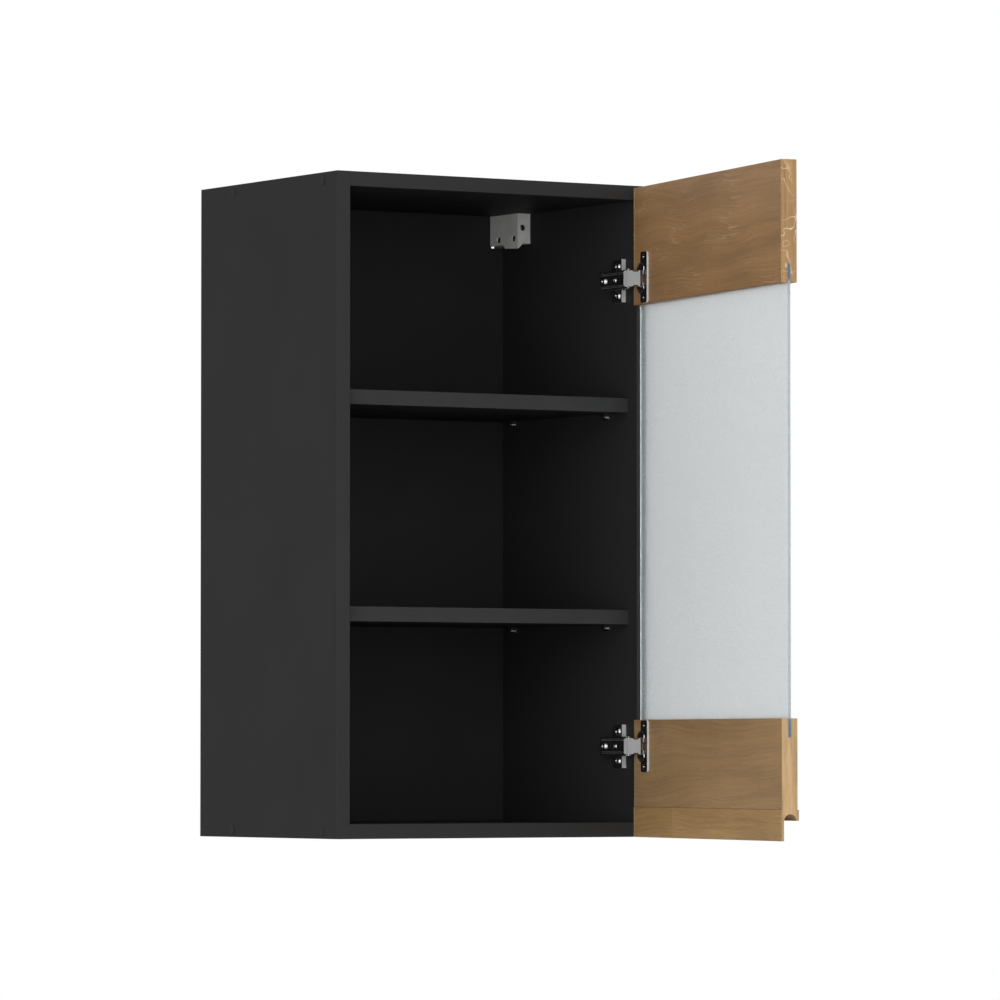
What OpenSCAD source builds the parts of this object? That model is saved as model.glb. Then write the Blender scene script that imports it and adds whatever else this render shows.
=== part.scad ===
// Hanging wall cabinet: a dark board carcass with two shelves, and one oak and glass door
// that swings on a pair of concealed cup hinges. Millimetres.
// Origin: middle of the top panel's rear edge, on the wall plane.
// +X to the right as seen from the front, +Y towards the wall, +Z up.

/* [Cabinet] */
// Outside width
cab_w = 400; // [300:1:600]
// Outside height
cab_h = 720; // [640:1:920]
// Depth of the carcass, wall to front edges
cab_d = 300; // [280:1:380]
// Thickness of the carcass boards and shelves
board = 16; // [15:0.5:19]
// Thickness of the front edge bands
band_t = 0.8; // [0.4:0.1:2]
// Number of shelves
shelf_count = 2; // [2:1:2]
// How far the shelf fronts stand back from the carcass front
shelf_setback = 16.5; // [10:0.5:40]
// Gap at each end of a shelf
shelf_play = 0.5; // [0.3:0.1:1]

/* [Back panel] */
// Thickness of the back panel
back_t = 3; // [2.5:0.5:4]
// Room behind the back panel for the wall rail
back_recess = 16; // [12:0.5:24]
// Depth of the grooves that hold the back panel
groove_deep = 8; // [6:0.5:9]
// Play of the back panel in its groove, each way
groove_play = 0.1; // [0.05:0.05:0.3]
// Height of the hook cut-outs in the back panel's top corners
hook_cut_h = 36; // [30:1:50]
// Width of the hook cut-outs
hook_cut_w = 15.5; // [15:0.5:20]

/* [Joints] */
// Front screws of the corner joints, measured from the front
joint_front = 33; // [28:1:60]
// Rear screws of the corner joints, measured from the wall
joint_rear = 71.5; // [60:0.5:90]
// Distance of each dowel from its screw
dowel_pitch = 32; // [24:1:40]
// Dowel diameter
dowel_d = 8; // [6:1:10]
// Dowel length
dowel_l = 30; // [26:1:36]
// Depth of the dowel holes in the sides
dowel_in_side = 9; // [8:0.5:10]
// Length of the corner screws
screw_l = 50; // [44:1:60]
// Diameter of the corner screws' heads
head_d = 10; // [9:0.5:11]
// Diameter of the smooth part of the shank
shank_d = 7; // [6.5:0.5:8]
// Diameter of the threaded part, taken at its core
core_d = 5; // [4:0.5:5.5]
// Diameter of the cover caps on the sides
cap_d = 12; // [11.5:0.5:13]
// Thickness of the cover caps
cap_t = 0.6; // [0.4:0.1:1]

/* [Shelf supports] */
// Diameter of the support pins
pin_d = 5; // [4:0.5:6]
// Depth of the pins in the sides
pin_in = 8; // [6:0.5:9]
// Support length along the depth
sup_l = 12; // [10:0.5:16]
// How far the supports reach under the shelf
sup_reach = 8; // [7:0.5:12]
// Thickness of the tongue under the shelf
sup_t = 1.6; // [1.2:0.1:2.4]
// Pin centre below the shelf
sup_drop = 3.4; // [3.2:0.1:6]
// Front supports, measured from the front
sup_front = 60; // [50:1:80]
// Rear shelf supports, measured from the back panel
sup_rear = 24; // [15:1:60]

/* [Wall hanger] */
// Width of the hanger cover
hang_w = 16.8; // [16.5:0.1:20]
// Length of the hanger cover along the depth
hang_l = 59; // [57:1:66]
// Height of the hanger cover
hang_h = 34; // [33:1:40]
// Wall thickness of the hanger cover
hang_wall = 1.5; // [1:0.1:2]
// Drop of the access lip under the cover
hang_lip = 6; // [3:0.5:7]
// Distance between the fixing screws
hang_pitch = 32; // [28:1:34]
// Thickness of the steel bracket
steel_t = 2; // [1.5:0.1:2.5]
// Thickness of the hook bar
hook_t = 3; // [2:0.1:3.5]
// Height of the hook bar
hook_h = 10; // [8:0.5:11]
// Drop of the hook's claw behind the back panel
claw_drop = 12; // [8:0.5:14]

/* [Door] */
// Door thickness
door_t = 18; // [17:0.5:20]
// Gap between the carcass and the closed door
door_gap = 2; // [1.8:0.1:2.5]
// Door stands back from the carcass sides by this
side_reveal = 1.5; // [1:0.5:3]
// Door stands below the carcass top by this
top_reveal = 3; // [2:0.5:6]
// Height of the top rail
rail_h = 130; // [100:1:160]
// Height of the bottom rail, handle strip included
low_rail_h = 129; // [100:1:160]
// Height of the handle strip
strip_h = 33; // [31:0.5:40]
// Height of the open finger space under the strip's front
finger_h = 21.4; // [18:0.1:23]
// Radius of the finger groove
finger_r = 7; // [5:0.5:7.5]
// Thickness of the strip's rear tongue
tongue_t = 3; // [2.5:0.1:4]
// How far the handle strip stands proud at the back
strip_back = 0.5; // [0.2:0.1:0.6]
// How far the handle strip stands proud at the front
strip_lip = 1.6; // [1:0.1:3]
// Glass thickness
glass_t = 3; // [3:0.5:5]
// Glass depth in the rail slots
glass_in = 20; // [12:1:24]
// Glass depth beside the hinge cups, where the pane's corners are notched
glass_in_cup = 3.5; // [3:0.1:3.7]
// Play around the glass in its slots
glass_play = 0.05; // [0.03:0.01:0.1]
// Small rounding on the rails' long edges
rail_r = 0.8; // [0.4:0.1:1.5]
// Angle the door now stands open
door_open = 80; // [0:1:95]

/* [Hinges] */
// Hinge centres, measured from the rails' inner edges
hinge_edge = 29.1; // [28.8:0.1:36]
// Centre of the hinge cup from the door's edge
cup_s = 23; // [22.4:0.1:23.6]
// Outer radius of the hinge cup
cup_r = 17.5; // [17:0.1:18]
// Depth of the hinge cup
cup_deep = 12.2; // [12:0.1:13]
// Wall of the hinge cup
cup_wall = 1.5; // [1.2:0.1:1.5]
// Floor of the hinge cup
cup_floor = 0.8; // [0.6:0.1:0.9]
// Thickness of the cup's ring on the door
ring_t = 0.4; // [0.3:0.1:0.8]
// Thickness of the cup's screw plate
ear_t = 2.2; // [1.8:0.1:2.4]
// Distance between the cup screws
cup_pitch = 45; // [42:1:48]
// Cup screws' distance from the cup centre, away from the edge
cup_offset = 9.5; // [8:0.5:10]
// Half the width of the hinge arm, cheeks included
arm_hw = 10.2; // [10:0.1:11]
// Sheet thickness of the hinge arm
arm_t = 1.1; // [0.9:0.1:1.2]
// Height of the arm above the side panel
arm_h = 13; // [12.6:0.1:14]
// Rear end of the arm, measured from the front
arm_rear = 56; // [54:1:60]
// Thickness of the link plates
link_t = 1.6; // [1.2:0.1:1.7]
// Radius of the link pins in the arm
arm_pin_r = 1.25; // [1:0.05:1.3]
// Radius of the outer link's pin in the cup
cup_pin_r = 1.0; // [0.8:0.05:1.1]
// Radius of the inner link's stub pins in the cup
stub_pin_r = 0.8; // [0.7:0.05:0.9]
// Running clearance of the link eyes, radial
eye_play = 0.05; // [0.03:0.01:0.08]
// Extra clearance of the inner link's eye in the cup
open_play = 1.1; // [1.06:0.01:1.12]
// Height of the mounting plate's wings
wing_h = 5.5; // [5:0.1:7]
// Front face of the wings, measured from the front
wing_front = 22.4; // [20:0.1:24]
// Mounting screws, measured from the front
plate_screw = 35; // [33:0.5:40]
// Distance between the mounting screws
plate_pitch = 32; // [31:1:34]

/* [Hidden] */
$fn = 48;
eps = 0.01;
seat = 0.05;           // play of pieces that seat in or beside each other
knee_proud = 0.05;     // the knees of a bent sheet stand proud of its runs by this

// Planes of the carcass
x_out = cab_w / 2;
x_in = x_out - board;
y_front = -cab_d;
y_core = y_front + band_t;
z_top = board / 2;
z_bottom = z_top - cab_h;
z_ceiling = z_top - board;
z_floor = z_bottom + board;
y_back = -back_recess - back_t;          // front face of the back panel
inner_w = 2 * x_in;
inner_h = z_ceiling - z_floor;
bay_h = (inner_h - shelf_count * board) / (shelf_count + 1);
function shelf_z(i) = z_floor + (i + 1) * bay_h + i * board;   // underside of shelf i

// Planes of the closed door
door_w = cab_w - 2 * side_reveal;
door_x = x_out - side_reveal;            // hinge edge
door_y = y_front - door_gap;             // inner face
door_z0 = z_bottom;
door_z1 = z_top - top_reveal;
z_hinge_upper = door_z1 - rail_h + hinge_edge;
z_hinge_lower = door_z0 + low_rail_h - hinge_edge;
glass_y = door_y - door_t / 2;           // middle plane of the glass
slot_w = glass_t + 2 * glass_play;

// Hinge pivots in the hinge's own plan: x from the side panel's inner face, y from the front.
// The links turn about pins a and c on the arm, and the cup about pins b and d on the door.
edge_x = door_x - x_in;                  // door edge past the side panel's inner face
pivot_a = [-11.2, 3.4];
pivot_c = [-16.2, -8.5];
pivot_b = [edge_x - 9.5, -door_gap - 4.7];
pivot_d = [edge_x - 13.9, -door_gap - 6.2];
outer_ratio = -0.42;                     // turn of the outer link for each turn of the door
inner_ratio = -0.425;                    // turn of the inner link for each turn of the door
inner_len = 16.63;                       // pin to pin
inner_closed = -2.52;                    // direction of the inner link, door closed, degrees
cup_x = edge_x - cup_s;
screw_x = cup_x - cup_offset;
cup_y = -door_gap;                       // the cup sits on the door's inner face

// Plan helpers
function turn(v, a) = [v[0] * cos(a) - v[1] * sin(a), v[0] * sin(a) + v[1] * cos(a)];
function aim(v) = atan2(v[1], v[0]);
function span(v) = norm(v);
pivot_b_now = pivot_a + turn(pivot_b - pivot_a, outer_ratio * door_open);
outer_len = span(pivot_b - pivot_a);
outer_now = aim(pivot_b - pivot_a) + outer_ratio * door_open;
inner_now = inner_closed + inner_ratio * door_open;

board_color = "#2b2b2c";
steel_color = "#b9bbbd";
oak_color = "#b08a5a";

// ---------- shared shapes ----------

// Draws what is drawn for the right side on the left or right side
module on_side(side) {
    mirror([side < 0 ? 1 : 0, 0, 0]) children();
}

// A bar along X with its four long edges rounded by r; size is [length, depth, height]
module soft_bar(size, r) {
    rotate([90, 0, 90]) linear_extrude(size[0]) union() {
        translate([r, 0]) square([size[1] - 2 * r, size[2]]);
        translate([0, r]) square([size[1], size[2] - 2 * r]);
        for (y = [r, size[1] - r], z = [r, size[2] - r]) translate([y, z]) circle(r);
    }
}

// Lays a shape drawn along +Z so that it runs along +X or -X
module along_x(direction) {
    rotate([0, direction * 90, 0]) children();
}

// A countersunk screw pointing down -Z from its flat top, with a cross recess
module countersunk(head_d, shank_d, length) {
    head_t = (head_d - shank_d) / 2;
    point = shank_d / 2;
    difference() {
        rotate_extrude() polygon([[0, 0], [head_d / 2, 0], [shank_d / 2, -head_t],
            [shank_d / 2, point - length], [0.3, -length], [0, -length]]);
        for (a = [0, 90]) rotate([0, 0, a])
            translate([-head_d * 0.28, -head_d * 0.05, -head_t * 0.55])
                cube([head_d * 0.56, head_d * 0.1, head_t]);
    }
}

// ---------- carcass ----------

// Corner screw standing on its head's plane, running down -Z; play widens it into its own hole
module corner_screw(play = 0) {
    head_l = 4;
    shank_l = board - 3;
    point = 3;
    rotate_extrude() polygon([[0, play > 0 ? cap_t + 2 : 0], [head_d / 2 + play, play > 0 ? cap_t + 2 : 0],
        [head_d / 2 + play, -head_l], [shank_d / 2 + play, -head_l],
        [shank_d / 2 + play, -shank_l], [core_d / 2 + play, -shank_l - 1],
        [core_d / 2 + play, point - screw_l - play], [0, -screw_l - play]]);
}

module dowel(play = 0) {
    chamfer = play > 0 ? 0 : 1;
    r = dowel_d / 2 + play;
    z0 = -dowel_l - (play > 0 ? 1 : 0);
    rotate_extrude() polygon([[0, 0], [r - chamfer, 0], [r, -chamfer],
        [r, z0 + chamfer], [r - chamfer, z0], [0, z0]]);
}

screw_rows = [y_front + joint_front, -joint_rear];
dowel_rows = [y_front + joint_front + dowel_pitch, -joint_rear - dowel_pitch];
joint_levels = [0, z_floor - board / 2];

// Puts a piece at each corner screw of the right side, its head 0.5 below the outer face
module at_screws() {
    for (y = screw_rows, z = joint_levels) translate([x_out - 0.5, y, z]) along_x(1) children();
}

module at_dowels(depth) {
    for (y = dowel_rows, z = joint_levels) translate([x_in + depth, y, z]) along_x(1) children();
}

// Puts a piece at each shelf support of one shelf, on both sides
module at_supports(i) {
    for (side = [-1, 1], y = [y_front + sup_front, y_back - sup_rear])
        on_side(side) translate([x_in, y, shelf_z(i)]) children();
}

module side_panel(side) {
    difference() {
        on_side(side) difference() {
            translate([x_in, y_core, z_bottom]) cube([board, cab_d - band_t, cab_h]);
            back_groove();
            at_screws() corner_screw(seat);
            at_dowels(dowel_in_side + seat) dowel(seat);
            for (z = hanger_fix_z, y = hanger_fix_y)
                translate([x_in - eps, y, z]) along_x(1) cylinder(r = fix_r + seat, h = fix_l);
        }
        for (i = [0:shelf_count - 1]) at_supports(i)
            translate([-eps, 0, -sup_drop]) along_x(1) cylinder(d = pin_d + 2 * seat, h = pin_in + 1);
        if (side > 0) for (z = [z_hinge_lower, z_hinge_upper], s = [-1, 1])
            translate([x_in - eps, y_front + plate_screw, z + s * plate_pitch / 2])
                along_x(1) cylinder(r = plate_screw_r + seat, h = plate_screw_in + 1);
    }
}

// Groove for the back panel, cut in all four boards
module back_groove() {
    reach = groove_deep + eps;
    translate([-x_in - reach, y_back - groove_play, z_floor - reach])
        cube([inner_w + 2 * reach, back_t + 2 * groove_play, inner_h + 2 * reach]);
}

module end_panel(z) {
    difference() {
        translate([-x_in, y_core, z]) cube([inner_w, cab_d - band_t, board]);
        back_groove();
        for (side = [-1, 1]) on_side(side) {
            at_screws() corner_screw(seat);
            at_dowels(dowel_in_side) dowel(seat);
        }
    }
}

module back_board() {
    edge = groove_deep - 1;
    difference() {
        translate([-x_in - edge, y_back, z_floor - edge])
            cube([inner_w + 2 * edge, back_t, inner_h + 2 * edge]);
        for (side = [-1, 1]) on_side(side)
            translate([x_in - hook_cut_w, y_back - 1, z_ceiling - hook_cut_h])
                cube([hook_cut_w - 0.8, back_t + 2, hook_cut_h - 2]);
    }
}

shelf_l = inner_w - 2 * shelf_play;
shelf_y = y_front + shelf_setback;

module shelf(i) {
    translate([-shelf_l / 2, shelf_y + band_t, shelf_z(i)])
        cube([shelf_l, y_back - 1 - shelf_y - band_t, board]);
}

// Edge band along X, with its two front edges eased
module band_bar(length) {
    r = band_t * 0.45;
    rotate([90, 0, 90]) linear_extrude(length) union() {
        translate([r, 0]) square([band_t - r, board]);
        translate([0, r]) square([band_t, board - 2 * r]);
        for (z = [r, board - r]) translate([r, z]) circle(r, $fn = 24);
    }
}

module side_band(side) {
    on_side(side) translate([x_out, y_front, z_bottom]) rotate([0, -90, 0]) {
        band_bar(cab_h);
    }
}

module end_band(z) {
    translate([-x_in, y_front, z]) band_bar(inner_w);
}

module shelf_band(i) {
    translate([-shelf_l / 2, shelf_y, shelf_z(i)]) band_bar(shelf_l);
}

module corner_screw_set(side) {
    on_side(side) at_screws() difference() {
        corner_screw();
        translate([0, 0, -3]) cylinder(r = 2.2, h = 4, $fn = 6);
    }
}

module screw_cap_set(side) {
    stem_l = 2.5;
    on_side(side) at_screws() translate([0, 0, 0.5]) {
        rotate_extrude() polygon([[0, 0], [cap_d / 2, 0], [cap_d / 2, cap_t * 0.5],
            [cap_d / 2 - cap_t * 0.5, cap_t], [0, cap_t]]);
        translate([0, 0, -stem_l]) cylinder(r = 1.7, h = stem_l + eps);
    }
}

module dowel_set(side) {
    on_side(side) at_dowels(dowel_in_side) dowel();
}

// Shelf support: a pin in the side, a small back plate and a tongue under the shelf
module support_set(i) {
    plate_t = 1.5;
    plate_h = sup_drop + pin_d / 2 + 1;
    at_supports(i) {
        translate([-plate_t, 0, -sup_drop]) along_x(1) cylinder(d = pin_d, h = plate_t + pin_in);
        translate([-plate_t, -sup_l / 2, -plate_h]) cube([plate_t, sup_l, plate_h]);
        translate([-sup_reach, -sup_l / 2, -sup_t]) cube([sup_reach, sup_l, sup_t]);
        translate([-sup_reach + 1, 0, -sup_drop]) along_x(1) cylinder(d = pin_d - 1, h = sup_reach - 1);
    }
}

// ---------- wall hangers ----------

fix_r = 2.5;                   // fixing screws of the hanger bracket
fix_head_d = 7.5;
fix_l = 13;
fix_rear = 18;                 // rear fixing screw, from the back panel
fix_drop = 28;                 // fixing screws, below the ceiling
hanger_fix_y = [y_back - fix_rear, y_back - fix_rear - hang_pitch];
hanger_fix_z = [z_ceiling - fix_drop];
depth_x = -10;                 // depth screw, from the side panel and the ceiling
depth_z = -16;
depth_r = 2.5;
nut_y = -44;                   // front of the hook's nut block
flange_y = nut_y - 7;          // bracket flange that carries the depth screw's head
height_y = -30;                // height screw, under the hook bar
height_r = 2;

// Draws in the rear top corner: x from the side panel, y from the back panel, z from the ceiling
module in_corner(side) {
    on_side(side) translate([x_in, y_back, z_ceiling]) children();
}

module hanger_shell(side) {
    lip_w = 7;
    lip_y = 27;
    lip_rise = 1.6;
    hole_r = 4;
    in_corner(side) difference() {
        union() {
            translate([-hang_w, -hang_l, -hang_h]) cube([hang_w - seat, hang_l - seat, hang_h - seat]);
            intersection() {
                translate([-hang_w + lip_w, 0, -hang_h]) rotate([90, 0, -90]) linear_extrude(lip_w)
                    polygon([[lip_y, eps], [hang_l, eps], [hang_l, -hang_lip], [lip_y + 5, lip_rise - hang_lip]]);
                translate([-hang_w, 0, -hang_h]) rotate([90, 0, 0]) linear_extrude(hang_l)
                    polygon([[0, 1], [lip_w, 1], [lip_w, 0], [1, -hang_lip - eps], [0, -hang_lip - eps]]);
            }
        }
        translate([-hang_w + hang_wall, -hang_l + hang_wall, -hang_h + hang_wall])
            cube([hang_w, hang_l, hang_h - 2 * hang_wall]);
        for (y = hanger_fix_y) translate([-hang_w - eps, y - y_back, -fix_drop])
            along_x(1) cylinder(r = hole_r, h = hang_wall + 1);
        translate([depth_x, -hang_l - eps, depth_z]) rotate([-90, 0, 0]) cylinder(r = 3.4, h = hang_wall + 1);
        translate([-hang_w + lip_w / 2, -hang_l + 9, -hang_h - hang_lip - 1])
            rotate([-35, 0, 0]) cylinder(r = 2.4, h = hang_lip + hang_wall + 4);
    }
}

module hanger_plate(side) {
    plate_h = hang_h - hang_wall - 0.2;
    plate_l = 50;
    in_corner(side) difference() {
        union() {
            translate([-steel_t, nut_y - 9, -plate_h]) cube([steel_t - seat, plate_l, plate_h - 2]);
            translate([depth_x - 4, flange_y, depth_z - 6]) cube([-depth_x + 4 - seat, steel_t, 12]);
            translate([depth_x + 1, height_y - 4, depth_z - 11]) cube([-depth_x - 1 - seat, 8, 4]);
        }
        for (y = hanger_fix_y) translate([-steel_t, y - y_back, -fix_drop]) along_x(-1)
            countersunk_hole(fix_head_d, 2 * fix_r, steel_t + 1);
        translate([depth_x, flange_y - 1, depth_z]) rotate([-90, 0, 0])
            cylinder(r = depth_r + seat, h = steel_t + 2);
        translate([depth_x + hook_t + 2, height_y, depth_z - 12]) cylinder(r = height_r + seat, h = 6);
    }
}

// Hole for a countersunk screw, pointing down -Z from the surface
module countersunk_hole(head_d, shank_d, depth) {
    head_t = (head_d - shank_d) / 2;
    rotate_extrude() polygon([[0, 1], [head_d / 2 + seat, 1], [head_d / 2 + seat, 0],
        [shank_d / 2 + seat, -head_t], [shank_d / 2 + seat, -depth], [0, -depth]]);
}

// Hook bar: runs from the nut block through the back panel and claws down behind it
module hanger_bar(side) {
    z0 = depth_z - hook_h / 2;
    reach = back_t + back_recess - 1.5;      // claw tip, short of the wall
    claw_t = 4;
    bar_x = depth_x + depth_r + 0.5;
    in_corner(side) difference() {
        union() {
            translate([bar_x + hook_t, 0, z0]) rotate([90, 0, -90]) linear_extrude(hook_t)
                polygon([[-nut_y, 0], [-nut_y, hook_h], [-reach, hook_h], [-reach, -claw_drop],
                    [-reach + claw_t * 0.5, -claw_drop], [-reach + claw_t, -claw_drop + 3], [-reach + claw_t, 0]]);
            translate([depth_x - 4, nut_y, z0]) cube([4 + depth_r + 0.5 + hook_t, 6, hook_h]);
        }
        translate([depth_x, nut_y - 1, depth_z]) rotate([-90, 0, 0]) cylinder(r = depth_r + seat, h = 8);
    }
}

module hanger_screw_set(side) {
    in_corner(side) {
        translate([depth_x, flange_y, depth_z]) rotate([90, 0, 0]) mirror([0, 0, 1]) {
            rotate([180, 0, 0]) difference() {
                cylinder(r = depth_r + 0.7, h = 2);
                for (a = [0, 90]) rotate([0, 0, a]) translate([-2, -0.4, 1]) cube([4, 0.8, 2]);
            }
            translate([0, 0, -eps]) cylinder(r = depth_r, h = -flange_y + nut_y + 5);
        }
        translate([depth_x + hook_t + 2, height_y, depth_z - 11.5]) cylinder(r = height_r, h = 6.4);
        for (y = hanger_fix_y) translate([-steel_t, y - y_back, -fix_drop]) along_x(-1)
            countersunk(fix_head_d, 2 * fix_r, fix_l);
    }
}

// ---------- hinges ----------

plate_screw_r = 1.9;
plate_screw_in = 14;
wing_t = 1.1;                  // sheet of the mounting plate's wings
spine_hw = 7.5;
spine_h = 8;
adjust_y = 25;                 // side adjusting screw, from the front
clamp_y = 46;                  // screw that clamps the arm to its plate
cheek_z = arm_hw - arm_t;      // inner face of a cheek
link_hw = cheek_z - 0.25;      // half width of the inner link's plate
core_hw = 4.1;                 // half width of the outer link
fork_z = core_hw + 0.5;        // inner face of the inner link's fork
eye_r = 2.1;                   // outside of the link eyes
inner_eye_r = 2.6;             // outside of the inner link's open eyes
outer_path = [[0, 0], [8, 4.3], [11.5, 5.2], [16, 5.2], [18, 3.4], [outer_len, 0]];
inner_path = [[-4.6, 1.7], [-1.5, 2.6], [13, 2.7], [15.2, 2], [inner_len, 0]];
fork_from = 14;                // the inner link is a fork from here on, from its first pin

// Hinge frame of the cabinet: x from the side's inner face, y from the front, z from the hinge
module at_hinge(z) {
    translate([x_in, y_front, z]) children();
}

// What is drawn for the closed door, at a hinge or not, moves to where the door stands now
module in_door() {
    translate([x_in, y_front, 0]) translate(pivot_b_now) rotate([0, 0, door_open])
        translate(-pivot_b) translate([-x_in, -y_front, 0]) children();
}

module at_door_hinge(z) {
    in_door() at_hinge(z) children();
}

// A link lying on the plan: along u from its first pin, bulging to its right by v
module at_link(pivot, direction) {
    translate(pivot) rotate([0, 0, direction]) mirror([0, 1, 0]) children();
}

// A bent sheet seen edge on: straight runs of width w, with round knees a hair proud of them
module bent_sheet(path, w) {
    for (i = [0:len(path) - 2]) {
        run = path[i + 1] - path[i];
        translate(path[i]) rotate(aim(run)) translate([0, -w / 2]) square([span(run), w]);
    }
    for (p = path) translate(p) circle(w / 2 + knee_proud, $fn = 24);
}

module both_sides() {
    children();
    mirror([0, 0, 1]) children();
}

// Cross shaped mounting plate: thin wings, each with a raised front lip, and a spine under the arm
module mounting_plate(z) {
    wing_l = 27;
    lip_t = 1.8;
    lip_z = arm_hw + 0.5;
    wing_z = 24;
    corner_r = 6;
    at_hinge(z) difference() {
        union() {
            translate([-spine_h, wing_front - 3, -spine_hw])
                cube([spine_h - seat, arm_rear - wing_front + 5, 2 * spine_hw]);
            both_sides() translate([-seat, wing_front, 0]) rotate([0, -90, 0]) {
                linear_extrude(wing_t - seat) {
                    translate([-1, 0]) square([wing_z - corner_r + 1, wing_l]);
                    translate([-1, 0]) square([wing_z + 1, wing_l - corner_r]);
                    translate([wing_z - corner_r, wing_l - corner_r]) circle(corner_r);
                }
                linear_extrude(wing_h - seat) translate([lip_z, 0]) square([wing_z - lip_z, lip_t]);
            }
        }
        both_sides() translate([1, plate_screw, plate_pitch / 2]) along_x(-1)
            cylinder(r = plate_screw_r + seat, h = wing_t + 2);
        for (y = [adjust_y, clamp_y]) translate([-spine_h - 1, y, 0]) along_x(1) cylinder(r = 2.5, h = spine_h - 1);
    }
}

// Pan head screw with a cross recess: the head stands up on +Z, the shank points down
module pan_screw(head_r, head_t, shank_r, shank_l, turn_by) {
    slot = 0.9;
    slot_deep = 0.7;
    difference() {
        union() {
            rotate_extrude() polygon([[0, 0], [head_r, 0], [head_r, head_t * 0.4], [head_r * 0.8, head_t * 0.85],
                [head_r * 0.55, head_t], [0, head_t]]);
            translate([0, 0, -shank_l]) cylinder(r = shank_r, h = shank_l + eps);
        }
        for (a = [turn_by, turn_by + 90]) rotate([0, 0, a])
            translate([-head_r * 0.5, -slot / 2, head_t - slot_deep]) cube([head_r, slot, 2]);
    }
}

module plate_screw_pair(z) {
    plate_face = wing_t + seat;
    at_hinge(z) both_sides() translate([-plate_face, plate_screw, plate_pitch / 2]) along_x(-1)
        pan_screw(4.7, 3, plate_screw_r, plate_face + plate_screw_in, 0);
}

// The arm: a channel over the mounting plate whose cheeks run forward to the two link pins
module arm_channel(z) {
    web_front = 6.5;
    rib_r = 1.2;
    at_hinge(z) difference() {
        union() {
            translate([-arm_h, web_front, -arm_hw]) cube([arm_t, arm_rear - web_front, 2 * arm_hw]);
            both_sides() translate([0, 0, cheek_z]) linear_extrude(arm_t) cheek_outline(web_front);
            translate([-arm_h, arm_rear - arm_t, -arm_hw]) cube([arm_h - spine_h - 0.4, arm_t, 2 * arm_hw]);
            both_sides() intersection() {
                translate([-arm_h, web_front, cheek_z - 2]) rotate([-90, 0, 0])
                    cylinder(r = rib_r, h = arm_rear - web_front - 4, $fn = 24);
                translate([-arm_h - rib_r, 0, 0]) cube([rib_r + arm_t, arm_rear, arm_hw]);
            }
        }
        for (y = [adjust_y, clamp_y]) translate([-arm_h - 2, y, 0]) along_x(1) cylinder(r = 2.5 + seat, h = 5);
        for (p = [pivot_a, pivot_c]) translate([p[0], p[1], -arm_hw - 1])
            cylinder(r = arm_pin_r + 0.02, h = 2 * arm_hw + 2);
    }
}

module cheek_outline(web_front) {
    knee = [-arm_h + 2.3, web_front + 3];
    translate([-arm_h, web_front]) square([arm_h - 3, arm_rear - web_front]);
    bent_sheet([knee + [2, 2], pivot_a, pivot_c], 2 * 2.3);
    bent_sheet([knee, pivot_c], 2 * 2.3);
}

module arm_pin_pair(z) {
    at_hinge(z) for (p = [pivot_a, pivot_c]) translate([p[0], p[1], -arm_hw - 0.3])
        cylinder(r = arm_pin_r, h = 2 * arm_hw + 0.6);
}

// Adjusting screw in front, clamping screw behind
module arm_screw_pair(z) {
    at_hinge(z) for (s = [[adjust_y, 3.1, 0.9, 45], [clamp_y, 4.2, 2.4, 0]]) translate([-arm_h, s[0], 0])
        along_x(-1) pan_screw(s[1], s[2], 2.45, arm_h - 2.4, s[3]);
}

module link_eye(at, r, z0, z1) {
    translate([at, 0, z0]) cylinder(r = r, h = z1 - z0);
}

// Outer link: a gooseneck between the cheeks, narrow enough to pass between the cup's stub pins
module gooseneck(z) {
    at_hinge(z) at_link(pivot_a, outer_now) difference() {
        union() {
            translate([0, 0, -core_hw]) linear_extrude(2 * core_hw) bent_sheet(outer_path, link_t);
            link_eye(0, eye_r, -core_hw, core_hw);
            link_eye(outer_len, eye_r - 0.2, -core_hw, core_hw);
        }
        link_eye(0, arm_pin_r + eye_play, -core_hw - 1, core_hw + 1);
        link_eye(outer_len, cup_pin_r + eye_play, -core_hw - 1, core_hw + 1);
    }
}

// Inner link: a waisted plate that ends in a fork round the outer link
module forked_link(z) {
    waist = [[2.8, 1], [6.2, -1.65], [10.2, -1.65], [12.4, 1]];
    tail_corner = [[-6, 1], [-6, -1.4], [-4.9, -1.4], [-3.4, 1]];
    at_hinge(z) at_link(pivot_c, inner_now) difference() {
        translate([0, 0, -link_hw]) linear_extrude(2 * link_hw) {
            bent_sheet(inner_path, link_t);
            circle(r = eye_r);
            translate([inner_len, 0]) circle(r = inner_eye_r);
        }
        translate([fork_from, -10, -fork_z]) cube([inner_len, 20, 2 * fork_z]);
        link_eye(0, arm_pin_r + eye_play, -link_hw - 1, link_hw + 1);
        link_eye(inner_len, stub_pin_r + open_play, -link_hw - 1, link_hw + 1);
        for (s = [-1, 1], cut = [waist, tail_corner])
            translate([0, 10, s * link_hw]) rotate([90, 0, 0])
                linear_extrude(20) polygon([for (p = cut) [p[0], s * p[1]]]);
    }
}

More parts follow.
